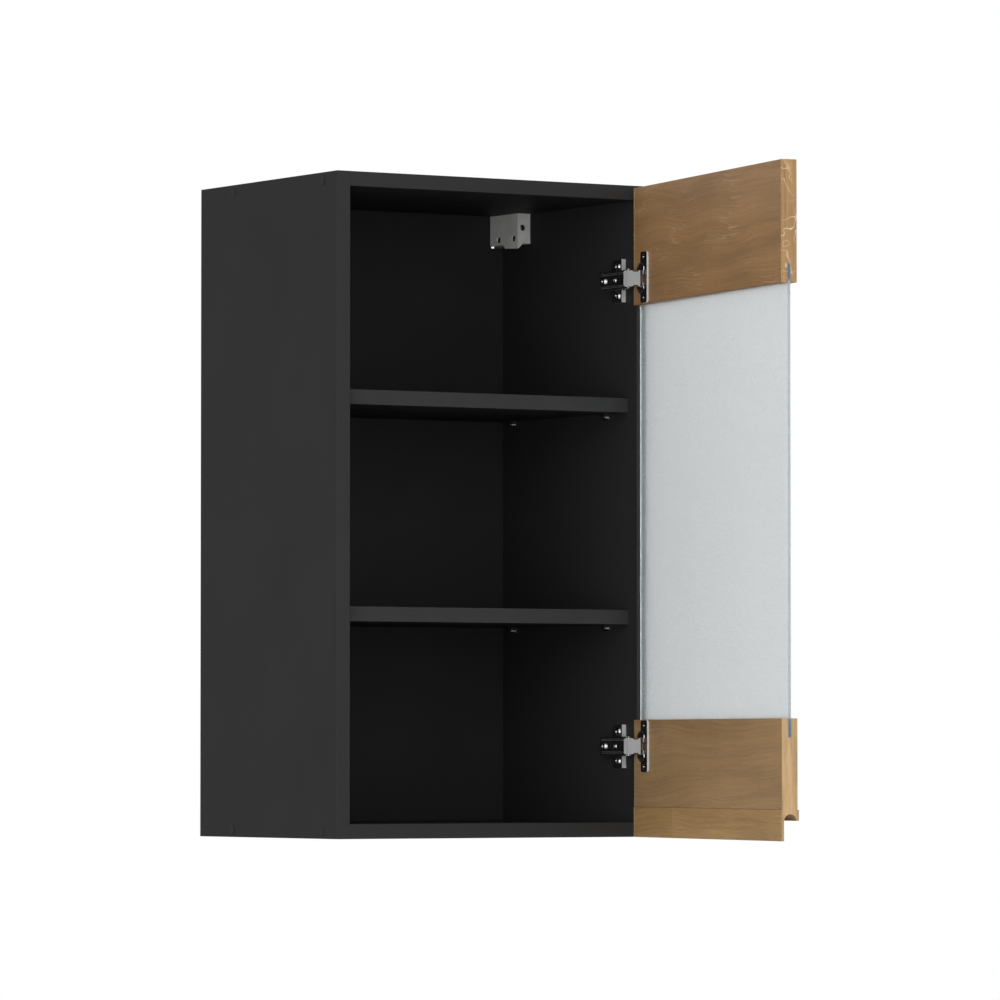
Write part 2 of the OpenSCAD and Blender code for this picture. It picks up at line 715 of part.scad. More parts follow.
// The cup: a flat bottomed pot with a ring and a screw plate, open and lowered towards the door's edge
module cup_pot(z) {
    cavity_r = cup_r - cup_wall;
    cavity_deep = cup_deep - cup_floor;
    ear_w = 18;
    ear_hl = 28.25;
    ring_over = 0.4;
    ear_x = screw_x;
    at_door_hinge(z) difference() {
        union() {
            translate([cup_x, cup_y + ring_t, 0]) rotate([90, 0, 0])
                cylinder(r = cup_r, h = ring_t + cup_deep, $fn = 96);
            translate([cup_x, cup_y + ring_t, 0]) rotate([90, 0, 0])
                cylinder(r = cup_r + ring_over, h = ring_t - seat / 2, $fn = 96);
            translate([ear_x, cup_y + ear_t, 0]) rotate([90, 0, 0]) linear_extrude(ear_t - seat / 2) {
                translate([-ear_w / 2, -ear_hl + 3]) square([ear_w, 2 * ear_hl - 6]);
                translate([-ear_w / 2 + 3, -ear_hl]) square([ear_w - 6, 2 * ear_hl]);
                for (x = [-1, 1], y = [-1, 1]) translate([x * (ear_w / 2 - 3), y * (ear_hl - 3)]) circle(r = 3);
            }
        }
        translate([cup_x, cup_y + ear_t + 1, 0]) rotate([90, 0, 0])
            cylinder(r = cavity_r, h = cavity_deep + ear_t + 1, $fn = 96);
        translate([edge_x - 12, cup_y - cavity_deep, -core_hw - 0.4])
            cube([12 - 6.7, cavity_deep + ear_t + 1, 2 * core_hw + 0.8]);
        translate([edge_x - 12, cup_y - 2, -link_hw - 0.35]) cube([12, ear_t + 3, 2 * link_hw + 0.7]);
        for (s = [-1, 1]) translate([screw_x, cup_y + ear_t, s * cup_pitch / 2]) rotate([-90, 0, 0])
            countersunk_hole(6.5, 3.6, ear_t + 1);
        cup_pin_shape(cup_pin_r + 0.02, stub_pin_r + 0.02);
    }
}

// The outer link's pin across the cup, and the inner link's two stub pins
module cup_pin_shape(pin_r, stub_r) {
    pin_hl = 9.6;
    stub_end = 14;
    translate([pivot_b[0], pivot_b[1], -pin_hl]) cylinder(r = pin_r, h = 2 * pin_hl, $fn = 48);
    both_sides() translate([pivot_d[0], pivot_d[1], fork_z]) cylinder(r = stub_r, h = stub_end - fork_z, $fn = 48);
}

module cup_pin_set(z) {
    at_door_hinge(z) cup_pin_shape(cup_pin_r, stub_pin_r);
}

module cup_screw_pair(z) {
    at_door_hinge(z) for (s = [-1, 1]) translate([screw_x, cup_y + ear_t, s * cup_pitch / 2])
        rotate([-90, 0, 0]) countersunk(6.5, 3.6, cup_screw_l);
}

// ---------- door ----------

cup_screw_l = 13;

module cup_bore(z) {
    at_hinge(z) {
        translate([cup_x, cup_y + 1, 0]) rotate([90, 0, 0])
            cylinder(r = cup_r + seat, h = cup_deep + 1 + seat, $fn = 96);
        for (s = [-1, 1]) translate([screw_x, cup_y + 1, s * cup_pitch / 2]) rotate([90, 0, 0])
            cylinder(r = 1.8 + seat, h = cup_screw_l);
    }
}

// The pane, or with an overhang and play its slot; it is notched beside the hinge cups
module glass_shape(over, t, play) {
    notch_x = door_x - cup_s - cup_r - 4;
    z0 = door_z0 + low_rail_h;
    z1 = door_z1 - rail_h;
    deep = glass_in + play;
    shallow = glass_in_cup + play;
    translate([door_x - door_w - over, glass_y - t / 2, z0 - deep])
        cube([notch_x + play - door_x + door_w + over, t, z1 - z0 + 2 * deep]);
    translate([notch_x - 1, glass_y - t / 2, z0 - shallow])
        cube([door_x - notch_x + 1 + over, t, z1 - z0 + 2 * shallow]);
}

module rail(z) {
    translate([door_x - door_w, door_y - door_t, z]) children();
}

module door_rail_top() {
    color(oak_color) in_door() difference() {
        rail(door_z1 - rail_h) soft_bar([door_w, door_t, rail_h], rail_r);
        glass_shape(1, slot_w, glass_play);
        cup_bore(z_hinge_upper);
    }
}

module door_rail_bottom() {
    low = door_z0 + strip_h;
    color(oak_color) in_door() difference() {
        rail(low) soft_bar([door_w, door_t, low_rail_h - strip_h], rail_r);
        glass_shape(1, slot_w, glass_play);
        cup_bore(z_hinge_lower);
    }
}

// Handle strip: a thin tongue behind, a lip in front, and a half round finger groove between
module handle_strip() {
    y_tongue = door_y + strip_back;
    y_lip = door_y - door_t - strip_lip;
    groove_y = door_y - door_t * 0.535;
    ease = 0.6;
    color(oak_color) in_door() translate([door_x - door_w, 0, door_z0])
        rotate([90, 0, 90]) linear_extrude(door_w) difference() {
            union() {
                translate([y_tongue - tongue_t, ease]) square([tongue_t, strip_h - ease]);
                translate([y_tongue - tongue_t + ease, 0]) square([tongue_t - 2 * ease, strip_h]);
                for (y = [y_tongue - ease, y_tongue - tongue_t + ease]) translate([y, ease]) circle(ease, $fn = 24);
                translate([y_lip, finger_h + ease]) square([y_tongue - y_lip, strip_h - finger_h - 2 * ease]);
                translate([y_lip + ease, finger_h]) square([y_tongue - y_lip - ease, strip_h - finger_h]);
                for (z = [finger_h + ease, strip_h - ease]) translate([y_lip + ease, z]) circle(ease, $fn = 24);
            }
            translate([groove_y, finger_h]) circle(finger_r, $fn = 64);
        }
}

module glass_pane() {
    color("#cfd6d8", 0.6) in_door() glass_shape(0, glass_t, 0);
}

// ---------- nodes ----------

module side_left() { color(board_color) side_panel(-1); }
module side_right() { color(board_color) side_panel(1); }
module top_panel() { color(board_color) end_panel(z_ceiling); }
module bottom_panel() { color(board_color) end_panel(z_bottom); }
module back_panel() { color("#1f1f20") back_board(); }
module shelf_upper() { color(board_color) shelf(1); }
module shelf_lower() { color(board_color) shelf(0); }
module edge_band_left() { color("#303031") side_band(-1); }
module edge_band_right() { color("#303031") side_band(1); }
module edge_band_top() { color("#303031") end_band(z_ceiling); }
module edge_band_bottom() { color("#303031") end_band(z_bottom); }
module edge_band_shelf_upper() { color("#303031") shelf_band(1); }
module edge_band_shelf_lower() { color("#303031") shelf_band(0); }
module corner_screws_left() { color(steel_color) corner_screw_set(-1); }
module dowels_left() { color("#d3b98c") dowel_set(-1); }
module screw_caps_left() { color("#262627") screw_cap_set(-1); }
module corner_screws_right() { color(steel_color) corner_screw_set(1); }
module dowels_right() { color("#d3b98c") dowel_set(1); }
module screw_caps_right() { color("#262627") screw_cap_set(1); }
module shelf_supports_upper() { color(steel_color) support_set(1); }
module shelf_supports_lower() { color(steel_color) support_set(0); }
module hanger_cover_left() { color("#6b6b69") hanger_shell(-1); }
module hanger_bracket_left() { color(steel_color) hanger_plate(-1); }
module hanger_hook_left() { color(steel_color) hanger_bar(-1); }
module hanger_screws_left() { color(steel_color) hanger_screw_set(-1); }
module hanger_cover_right() { color("#6b6b69") hanger_shell(1); }
module hanger_bracket_right() { color(steel_color) hanger_plate(1); }
module hanger_hook_right() { color(steel_color) hanger_bar(1); }
module hanger_screws_right() { color(steel_color) hanger_screw_set(1); }
module hinge_plate_upper() { color(steel_color) mounting_plate(z_hinge_upper); }
module plate_screws_upper() { color(steel_color) plate_screw_pair(z_hinge_upper); }
module hinge_arm_upper() { color(steel_color) arm_channel(z_hinge_upper); }
module arm_screws_upper() { color(steel_color) arm_screw_pair(z_hinge_upper); }
module arm_pins_upper() { color(steel_color) arm_pin_pair(z_hinge_upper); }
module outer_link_upper() { color("#a5a7a9") gooseneck(z_hinge_upper); }
module inner_link_upper() { color("#c9cbcd") forked_link(z_hinge_upper); }
module hinge_cup_upper() { color(steel_color) cup_pot(z_hinge_upper); }
module cup_pins_upper() { color(steel_color) cup_pin_set(z_hinge_upper); }
module cup_screws_upper() { color(steel_color) cup_screw_pair(z_hinge_upper); }
module hinge_plate_lower() { color(steel_color) mounting_plate(z_hinge_lower); }
module plate_screws_lower() { color(steel_color) plate_screw_pair(z_hinge_lower); }
module hinge_arm_lower() { color(steel_color) arm_channel(z_hinge_lower); }
module arm_screws_lower() { color(steel_color) arm_screw_pair(z_hinge_lower); }
module arm_pins_lower() { color(steel_color) arm_pin_pair(z_hinge_lower); }
module outer_link_lower() { color("#a5a7a9") gooseneck(z_hinge_lower); }
module inner_link_lower() { color("#c9cbcd") forked_link(z_hinge_lower); }
module hinge_cup_lower() { color(steel_color) cup_pot(z_hinge_lower); }
module cup_pins_lower() { color(steel_color) cup_pin_set(z_hinge_lower); }
module cup_screws_lower() { color(steel_color) cup_screw_pair(z_hinge_lower); }

side_left();
side_right();
top_panel();
bottom_panel();
back_panel();
shelf_upper();
shelf_lower();
edge_band_left();
edge_band_right();
edge_band_top();
edge_band_bottom();
edge_band_shelf_upper();
edge_band_shelf_lower();
corner_screws_left();
corner_screws_right();
dowels_left();
dowels_right();
screw_caps_left();
screw_caps_right();
shelf_supports_upper();
shelf_supports_lower();
hanger_cover_left();
hanger_cover_right();
hanger_bracket_left();
hanger_bracket_right();
hanger_hook_left();
hanger_hook_right();
hanger_screws_left();
hanger_screws_right();
hinge_plate_upper();
hinge_plate_lower();
plate_screws_upper();
plate_screws_lower();
hinge_arm_upper();
hinge_arm_lower();
arm_screws_upper();
arm_screws_lower();
arm_pins_upper();
arm_pins_lower();
outer_link_upper();
outer_link_lower();
inner_link_upper();
inner_link_lower();
hinge_cup_upper();
hinge_cup_lower();
cup_pins_upper();
cup_pins_lower();
cup_screws_upper();
cup_screws_lower();
door_rail_top();
door_rail_bottom();
handle_strip();
glass_pane();
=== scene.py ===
import math

import bpy
from mathutils import Matrix, Vector


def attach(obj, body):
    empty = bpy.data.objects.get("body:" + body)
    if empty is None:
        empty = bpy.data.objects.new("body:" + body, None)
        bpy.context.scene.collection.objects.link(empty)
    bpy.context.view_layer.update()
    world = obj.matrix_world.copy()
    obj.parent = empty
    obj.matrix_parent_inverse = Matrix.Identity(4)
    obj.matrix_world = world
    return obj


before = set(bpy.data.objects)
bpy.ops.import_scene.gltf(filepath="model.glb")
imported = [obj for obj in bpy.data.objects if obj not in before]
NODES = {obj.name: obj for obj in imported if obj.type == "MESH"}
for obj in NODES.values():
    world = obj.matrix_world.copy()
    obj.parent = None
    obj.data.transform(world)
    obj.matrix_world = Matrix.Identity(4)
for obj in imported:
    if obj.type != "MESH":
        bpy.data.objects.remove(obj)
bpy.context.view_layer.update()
SCENE = bpy.context.scene

# ---------------------------------------------------------------- the door and its hinges, in metres
# The door's own directions are along its width from the hinge side, through its thickness from its
# inner face, and up from its foot.

DOOR_OPEN = 80.0                      # degrees the door stands open at rest
DOOR_CORNER = Vector((0.177725, -0.303805, -0.712))   # inner hinge-side corner, at its foot
DOOR_WIDTH = 0.397
DOOR_TURN = math.radians(180.0 - DOOR_OPEN)
HINGE_HEIGHTS = {"upper": -0.0959, "lower": -0.6121}
CUP_FROM_EDGE = 0.023                 # cup's middle, from the door's hinge side
BORE_RADIUS = 0.0162                  # just outside the cup's bored wall
SOFT = 0.0004                         # width over which one finish fades into the next

LINER_RADIUS = 0.0159                 # the liner lies on the cup's bored wall
LINER_WALL = 0.0004
LINER_LIP = 0.0030                    # its lip and its floor, below the door's inner face
LINER_FLOOR = 0.0113
LINER_HALF = 0.0096                   # from the hinge's middle to the liner's cut sides
LINER_SIDES = 96
FACES_UP = 0.9                        # a face whose normal rises more than this looks up
SMOOTH_BELOW = math.radians(35.0)     # edges flatter than this are shaded smooth

BLOCK_JOINT = 0.106                   # from the hinge side to the glued joint in the handle strip
SEAM = 0.0006                         # half the joint's width
SEAM_SHADE = 0.82                     # the joint's tone, against the oak beside it
SHORT_BLOCK_SHADE = 0.9               # the tone of the block on the hinge side
VENEER = 0.0006                       # veneer on the rails' ends
HINGE_PAINTED_HIGHLIGHT = 0.0045                    # a painted highlight along the hinge side's edge, in the end veneer's colour, fades out here

RIM_FROM = 0.006                      # painted shade: a darker rim near the glass pane's hinge side, where the dark cabinet shows through the pane
RIM_TO = 0.018
RIM_FADE = 0.003
GLASS_MIDDLE = 0.009                  # the pane's middle, below the door's inner face
GLASS_FROM_FOOT = 0.129               # the pane is seen between these two heights
GLASS_TO = 0.590
GLASS_CUT_FROM = 0.0008               # the pane's cut edge begins and is full, in from the free side
GLASS_CUT_FULL = 0.0002

# ---------------------------------------------------------------- finishes, linear colours

BOARD = (0.0208, 0.0208, 0.0210)
BACK_BOARD = (0.0225, 0.0225, 0.0227)
BAND_DARK = (0.0290, 0.0290, 0.0292)
# the same banding as the carcass's, made paler as painted light against the shade on the recessed shelf
# fronts
SHELF_BAND_PAINTED_LIGHT = (0.0350, 0.0350, 0.0352)
CAP_DARK = (0.0190, 0.0190, 0.0192)
TOP_OAK = (0.272, 0.154, 0.068)
LOW_OAK = (0.303, 0.188, 0.090)
STRIP_OAK = (0.342, 0.204, 0.083)
# the rails' end veneer, made paler as painted light on the lit free edge
TOP_END_OAK_PAINTED_LIGHT = (0.325, 0.188, 0.078)
LOW_END_OAK_PAINTED_LIGHT = (0.428, 0.282, 0.138)
OAK_RAY = (0.720, 0.570, 0.360)       # the pale rays that cross quarter-sawn oak
BEECH = (0.62, 0.45, 0.27)
HANGER_GREY = (0.640, 0.640, 0.620)
HANGER_STEEL_PAINTED_SHADE = (0.090, 0.091, 0.094)  # the hanger bracket's steel, darkened as painted shade inside the cover
NICKEL = (0.60, 0.60, 0.59)
NICKEL_CUT_AND_HIGHLIGHT = (0.64, 0.64, 0.64)       # sheared faces of the plated parts: a duller tone of their own, made pale as a painted highlight along the edges
# the links' nickel, darkened as painted shade to dim their reflection
NICKEL_LINK_PAINTED_SHADE = (0.120, 0.120, 0.119)
# the arms' sheared faces, darkened as painted shade
ARM_CUT_PAINTED_SHADE = (0.07, 0.07, 0.07)
CUP_BORE_PAINTED_SHADE = (0.012, 0.012, 0.012)      # painted shade on the wall inside the cup's bore
ZINC = (0.34, 0.345, 0.355)
LINER_BROWN = (0.30, 0.13, 0.04)
GLASS_BODY = (0.950, 0.978, 0.990)
GLASS_CLOUD = tuple(0.97 * part for part in GLASS_BODY)
GLASS_EDGE = (0.67, 0.78, 0.83)
# the edge's blue tint, darkened as painted shade where it sits in the rails' slots
GLASS_IN_SLOT_PAINTED_SHADE = (0.185, 0.44, 0.76)
# painted shade near the pane's hinge side, on its inner half
GLASS_RIM_PAINTED_SHADE = (0.70, 0.83, 0.86)
GLASS_CLEAR = 0.78                    # share of the light that goes into the pane
GLASS_IOR = 1.5

NOISE_SPAN = (0.3, 0.7)               # a noise seldom goes outside these
RISES = (0.0, 1.0)                    # values at the two ends of a span
FALLS = (1.0, 0.0)
ACROSS = (1.0, 0.0, 0.0)              # the way that the hinge plates and arms look
DOOR_FACING = tuple(Matrix.Rotation(-DOOR_TURN, 3, "Z") @ Vector((0.0, 1.0, 0.0)))
LINK_FACING = (0.595, 0.804, 0.0)     # square to the inner link's flat side


# ---------------------------------------------------------------- node helpers

def feed(tree, socket, value):
    """Joins a socket to another one, or sets it to a number, a colour or a vector."""
    if isinstance(value, bpy.types.NodeSocket):
        tree.links.new(value, socket)
    elif socket.type == "RGBA":
        socket.default_value = (*value, 1.0)
    else:
        socket.default_value = value


def node(tree, kind, inputs=None, **settings):
    """One shader node, with its settings and its inputs given by name."""
    made = tree.nodes.new(kind)
    for name, value in settings.items():
        setattr(made, name, value)
    for name, value in (inputs or {}).items():
        feed(tree, made.inputs[name], value)
    return made


def open_group(name, inputs, outputs):
    """A shader node group with named sockets. Returns the tree, what comes in and what goes out."""
    tree = bpy.data.node_groups.new(name, "ShaderNodeTree")
    kinds = {"float": "NodeSocketFloat", "colour": "NodeSocketColor", "vector": "NodeSocketVector"}
    for label, (kind, default) in inputs.items():
        socket = tree.interface.new_socket(name=label, in_out="INPUT", socket_type=kinds[kind])
        if default is not None:
            socket.default_value = (*default, 1.0) if kind == "colour" else default
    for label, kind in outputs.items():
        tree.interface.new_socket(name=label, in_out="OUTPUT", socket_type=kinds[kind])
    return tree, node(tree, "NodeGroupInput").outputs, node(tree, "NodeGroupOutput").inputs


def lay_out(tree, column=220.0, row=260.0):
    """Sets a tree's nodes out in columns, each node to the left of all that it feeds."""
    steps = {item.name: 0 for item in tree.nodes}
    for _ in tree.nodes:
        for link in tree.links:
            steps[link.from_node.name] = max(steps[link.from_node.name], steps[link.to_node.name] + 1)
    taken = {}
    for item in tree.nodes:
        step = steps[item.name]
        item.location = (-column * step, -row * taken.get(step, 0))
        taken[step] = taken.get(step, 0) + 1


def mix(tree, factor, first, second):
    """First where the factor is 0 and second where it is 1. Each is a socket or a plain value."""
    made = node(tree, "ShaderNodeMix", data_type="RGBA")
    feed(tree, made.inputs[0], factor)
    feed(tree, made.inputs[6], first)
    feed(tree, made.inputs[7], second)
    return made.outputs[2]


def maths(tree, operation, *operands):
    """A maths node. Each operand is a socket or a number."""
    made = node(tree, "ShaderNodeMath", operation=operation)
    for index, value in enumerate(operands):
        feed(tree, made.inputs[index], value)
    return made.outputs[0]


def shaded(tree, colour, factor):
    """A colour made lighter or darker by a factor."""
    made = node(tree, "ShaderNodeVectorMath", {"Scale": factor}, operation="SCALE")
    feed(tree, made.inputs[0], colour)
    return made.outputs[0]


def spread(tree, source, span, values):
    """The first value below a span, the second above it, and evenly from one to the other within it."""
    return node(tree, "ShaderNodeMapRange", {
        "Value": source, "From Min": span[0], "From Max": span[1],
        "To Min": values[0], "To Max": values[1]}).outputs["Result"]


def swing(tree, source, reach):
    """A noise of 0..1, brought to -reach..reach."""
    return maths(tree, "MULTIPLY_ADD", source, 2 * reach, -reach)


def noise(tree, place, waves, detail, rough=0.5, warp=0.0):
    """A cloudy noise of 0..1, with its waves per metre."""
    return node(tree, "ShaderNodeTexNoise", {
        "Vector": place, "Scale": waves, "Detail": detail, "Roughness": rough,
        "Distortion": warp}).outputs["Fac"]


def mapped(tree, place, scale=(1.0, 1.0, 1.0), turn=(0.0, 0.0, 0.0), shift=(0.0, 0.0, 0.0)):
    """A place scaled, then turned, then shifted."""
    return node(tree, "ShaderNodeMapping", {
        "Vector": place, "Location": shift, "Rotation": turn, "Scale": scale}).outputs["Vector"]


def streaks(tree, place, waves, detail=1.0, rough=0.5, warp=0.0):
    """A noise with its own waves per metre in each direction."""
    return noise(tree, mapped(tree, place, scale=waves), 1.0, detail, rough, warp)


# ---------------------------------------------------------------- shared effects

BOARD_PORE_SPAN = (0.35, 0.65)
BOARD_PORE_TONE = (0.95, 1.05)
BOARD_SHEEN = (-0.015, 0.015)


def laminate_group():
    """Printed board: a faint cloudy tone, a fine pore and a soft sheen that is never quite even."""
    tree, given, out = open_group(
        "Laminate",
        {"Vector": ("vector", None), "Colour": ("colour", BOARD), "Roughness": ("float", 0.45),
         "Cloud": ("float", 0.05)},
        {"Colour": "colour", "Roughness": "float", "Height": "float"})
    place = given["Vector"]
    cloud = noise(tree, place, waves=9.0, detail=4.0, rough=0.55)
    pore = noise(tree, place, waves=1400.0, detail=2.0, rough=0.6)
    smear = noise(tree, mapped(tree, place, scale=(1.0, 1.0, 0.35)), waves=26.0, detail=3.0)
    darkest = maths(tree, "SUBTRACT", 1.0, given["Cloud"])
    palest = maths(tree, "ADD", 1.0, given["Cloud"])
    tone = spread(tree, cloud, NOISE_SPAN, (darkest, palest))
    speck = spread(tree, pore, BOARD_PORE_SPAN, BOARD_PORE_TONE)
    sheen = spread(tree, smear, NOISE_SPAN, BOARD_SHEEN)
    feed(tree, out["Colour"], shaded(tree, given["Colour"], maths(tree, "MULTIPLY", tone, speck)))
    feed(tree, out["Roughness"], maths(tree, "ADD", given["Roughness"], sheen))
    feed(tree, out["Height"], pore)
    lay_out(tree)
    return tree


# waves per metre of the oak's figure, along the grain, through the board and up it
SLOW_DRIFT = (5.5, 5.5, 9.0)
QUICK_DRIFT = (24.0, 24.0, 30.0)
BANDS = (4.0, 46.0, 50.0)
FINE_LINES = (7.0, 330.0, 360.0)
PORES = (60.0, 1300.0, 1300.0)
OAK_CLOUD = (8.0, 8.0, 13.0)
FLAT_RAYS = (11.0, 150.0, 170.0)
CURLED_RAYS = (64.0, 58.0, 62.0)
RAY_PATCHES = (13.0, 22.0, 24.0)

SLOW_RISE = 0.5                       # rise of the grain, as a share of the board's wave
QUICK_RISE = 0.015
BAND_SWING = 1.0                      # each layer's part in the contrast
LINE_SWING = 0.9
CLOUD_SWING = 0.7
OAK_PORE_SPAN = (0.34, 0.46)
OAK_PORE_TONE = (-0.13, 0.0)
OAK_SHEEN = (0.56, 0.46)
OAK_PORE_DEPTH = 0.5                  # depth of a pore, against that of a line
FLAT_RAY_SPAN = (0.0, 0.030)          # a ray's half width, in steps of its noise
CURLED_RAY_SPAN = (0.007, 0.017)
FLAT_RAY_PATCH = (0.50, 0.62)
CURLED_RAY_PATCH = (0.36, 0.46)
NOISE_MIDDLE = 0.5                    # the value about which a noise swings


def drifting(tree, place, wave):
    """A place whose grain rises and falls along the board, as far as the wave says."""
    slow = swing(tree, streaks(tree, place, SLOW_DRIFT, detail=1.5), SLOW_RISE)
    quick = swing(tree, streaks(tree, place, QUICK_DRIFT), QUICK_RISE)
    rise = maths(tree, "MULTIPLY", maths(tree, "ADD", slow, quick), wave)
    moved = node(tree, "ShaderNodeVectorMath", operation="ADD")
    feed(tree, moved.inputs[0], place)
    feed(tree, moved.inputs[1], node(tree, "ShaderNodeCombineXYZ", {"Z": rise}).outputs[0])
    return moved.outputs[0]


def thin_lines(tree, source, span):
    """Thin lines where a noise crosses its middle, which fade out over a span to both sides."""
    off_middle = maths(tree, "ABSOLUTE", maths(tree, "SUBTRACT", source, NOISE_MIDDLE))
    return spread(tree, off_middle, span, FALLS)


def oak_group():
    """Oak: bands and fine lines along the grain, short dark pores, and pale rays in patches."""
    tree, given, out = open_group(
        "Oak",
        {"Vector": ("vector", None), "Colour": ("colour", TOP_OAK), "Contrast": ("float", 0.5),
         "Wave": ("float", 0.04), "Ray Colour": ("colour", OAK_RAY), "Rays": ("float", 0.3),
         "Curls": ("float", 0.0)},
        {"Colour": "colour", "Roughness": "float", "Height": "float"})
    place = given["Vector"]
    grain = drifting(tree, place, given["Wave"])
    bands = streaks(tree, grain, BANDS, detail=2.5, rough=0.55)
    lines = streaks(tree, grain, FINE_LINES, detail=3.0, rough=0.65)
    pores = streaks(tree, grain, PORES)
    cloud = streaks(tree, place, OAK_CLOUD, detail=2.0)
    # tone of the plain wood
    tone = maths(tree, "ADD", swing(tree, bands, BAND_SWING), swing(tree, lines, LINE_SWING))
    tone = maths(tree, "ADD", tone, swing(tree, cloud, CLOUD_SWING))
    tone = maths(tree, "ADD", maths(tree, "MULTIPLY", tone, given["Contrast"]), 1.0)
    in_pores = spread(tree, pores, OAK_PORE_SPAN, OAK_PORE_TONE)
    plain = shaded(tree, given["Colour"], maths(tree, "ADD", tone, in_pores))
    # rays: level lines on the faces, and round ones where they curl
    where = streaks(tree, place, RAY_PATCHES)
    flat = thin_lines(tree, streaks(tree, grain, FLAT_RAYS), FLAT_RAY_SPAN)
    flat = maths(tree, "MULTIPLY", flat, spread(tree, where, FLAT_RAY_PATCH, RISES))
    flat = maths(tree, "MULTIPLY", flat, given["Rays"])
    curled = thin_lines(tree, streaks(tree, place, CURLED_RAYS, warp=0.5), CURLED_RAY_SPAN)
    curled = maths(tree, "MULTIPLY", curled, spread(tree, where, CURLED_RAY_PATCH, RISES))
    curled = maths(tree, "MULTIPLY", curled, given["Curls"])
    rays = maths(tree, "MAXIMUM", flat, curled)
    feed(tree, out["Colour"], mix(tree, rays, plain, given["Ray Colour"]))
    feed(tree, out["Roughness"], spread(tree, lines, NOISE_SPAN, OAK_SHEEN))
    feed(tree, out["Height"], maths(tree, "MULTIPLY_ADD", pores, OAK_PORE_DEPTH, lines))
    lay_out(tree)
    return tree


SQUARE_ON_SPAN = (0.70, 0.92)         # below it a face is sheared metal, above it a rolled face
PLATED_TONE = (0.92, 1.06)
ROLLED_SHEEN = (-0.03, 0.04)
CLOUDED_SHEEN = (-0.03, 0.03)
CUT_DULLER = 0.35                     # what shearing adds to the roughness
CUT_LESS_METALLIC = 0.75              # and what it takes from the metal's shine


def plated_group():
    """Plated steel: fine rolling lines, a clouded gloss, and duller faces where it was sheared, which
    take a cut colour that is painted light along the edges.
    """
    tree, given, out = open_group(
        "Plated steel",
        {"Vector": ("vector", None), "Facing": ("vector", None), "Axis": ("vector", ACROSS),
         "Colour": ("colour", NICKEL), "Roughness": ("float", 0.2),
         "Cut Colour": ("colour", NICKEL_CUT_AND_HIGHLIGHT), "Cut": ("float", 0.0)},
        {"Colour": "colour", "Roughness": "float", "Metallic": "float", "Height": "float"})
    place = given["Vector"]
    along = node(tree, "ShaderNodeVectorMath", operation="DOT_PRODUCT")
    feed(tree, along.inputs[0], given["Facing"])
    feed(tree, along.inputs[1], given["Axis"])
    square_on = maths(tree, "ABSOLUTE", along.outputs["Value"])
    sheared = maths(tree, "MULTIPLY", spread(tree, square_on, SQUARE_ON_SPAN, FALLS), given["Cut"])
    cloud = noise(tree, place, waves=160.0, detail=3.0)
    lines = noise(tree, mapped(tree, place, scale=(1.0, 0.08, 1.0)), waves=2600.0, detail=2.0)
    tone = spread(tree, cloud, NOISE_SPAN, PLATED_TONE)
    # the cut colour on the sheared faces is painted light, a highlight or a shade along the edges
    metal = mix(tree, sheared, given["Colour"], given["Cut Colour"])
    sheen = maths(tree, "ADD", spread(tree, lines, NOISE_SPAN, ROLLED_SHEEN),
                  spread(tree, cloud, NOISE_SPAN, CLOUDED_SHEEN))
    sheen = maths(tree, "MULTIPLY_ADD", sheared, CUT_DULLER, sheen)
    feed(tree, out["Colour"], shaded(tree, metal, tone))
    feed(tree, out["Roughness"], maths(tree, "ADD", given["Roughness"], sheen))
    feed(tree, out["Metallic"], maths(tree, "MULTIPLY_ADD", sheared, -CUT_LESS_METALLIC, 1.0))
    feed(tree, out["Height"], lines)
    lay_out(tree)
    return tree


MOULDED_TONE = (0.92, 1.07)
MOULDED_SHEEN = (-0.05, 0.05)


def moulded_group():
    """Moulded plastic: a fine spark-eroded grain with a faint flow cloud."""
    tree, given, out = open_group(
        "Moulded plastic",
        {"Vector": ("vector", None), "Colour": ("colour", HANGER_GREY), "Roughness": ("float", 0.5)},
        {"Colour": "colour", "Roughness": "float", "Height": "float"})
    place = given["Vector"]
    grain = noise(tree, place, waves=900.0, detail=2.0, rough=0.6)
    flow = noise(tree, place, waves=60.0, detail=3.0, warp=0.4)
    tone = spread(tree, flow, NOISE_SPAN, MOULDED_TONE)
    sheen = spread(tree, grain, NOISE_SPAN, MOULDED_SHEEN)
    feed(tree, out["Colour"], shaded(tree, given["Colour"], tone))
    feed(tree, out["Roughness"], maths(tree, "ADD", given["Roughness"], sheen))
    feed(tree, out["Height"], grain)
    lay_out(tree)
    return tree


LAMINATE = laminate_group()
OAK = oak_group()
PLATED = plated_group()
MOULDED = moulded_group()


# ---------------------------------------------------------------- materials

def surface(name, bump, depth, metallic=0.0, specular=0.5):
    """A material of one Principled shader with a bump. Returns material, tree, shader, bump, place."""
    made = bpy.data.materials.new(name)
    made.use_nodes = True
    tree = made.node_tree
    shader = tree.nodes["Principled BSDF"]
    shader.inputs["Metallic"].default_value = metallic
    shader.inputs["Specular IOR Level"].default_value = specular
    relief = node(tree, "ShaderNodeBump", {"Strength": bump, "Distance": depth})
    feed(tree, shader.inputs["Normal"], relief.outputs["Normal"])
    place = node(tree, "ShaderNodeTexCoord").outputs["Object"]
    return made, tree, shader, relief, place


def put_effect(tree, effect, place, **values):
    """Places a shared effect in a material, with its own values."""
    made = node(tree, "ShaderNodeGroup", node_tree=effect)
    feed(tree, made.inputs["Vector"], place)
    for name, value in values.items():
        feed(tree, made.inputs[name.replace("_", " ")], value)
    return made


def join_sheen_and_relief(tree, effect, shader, relief):
    """Joins an effect's sheen and relief to a material's shader."""
    feed(tree, shader.inputs["Roughness"], effect.outputs["Roughness"])
    feed(tree, relief.inputs["Height"], effect.outputs["Height"])


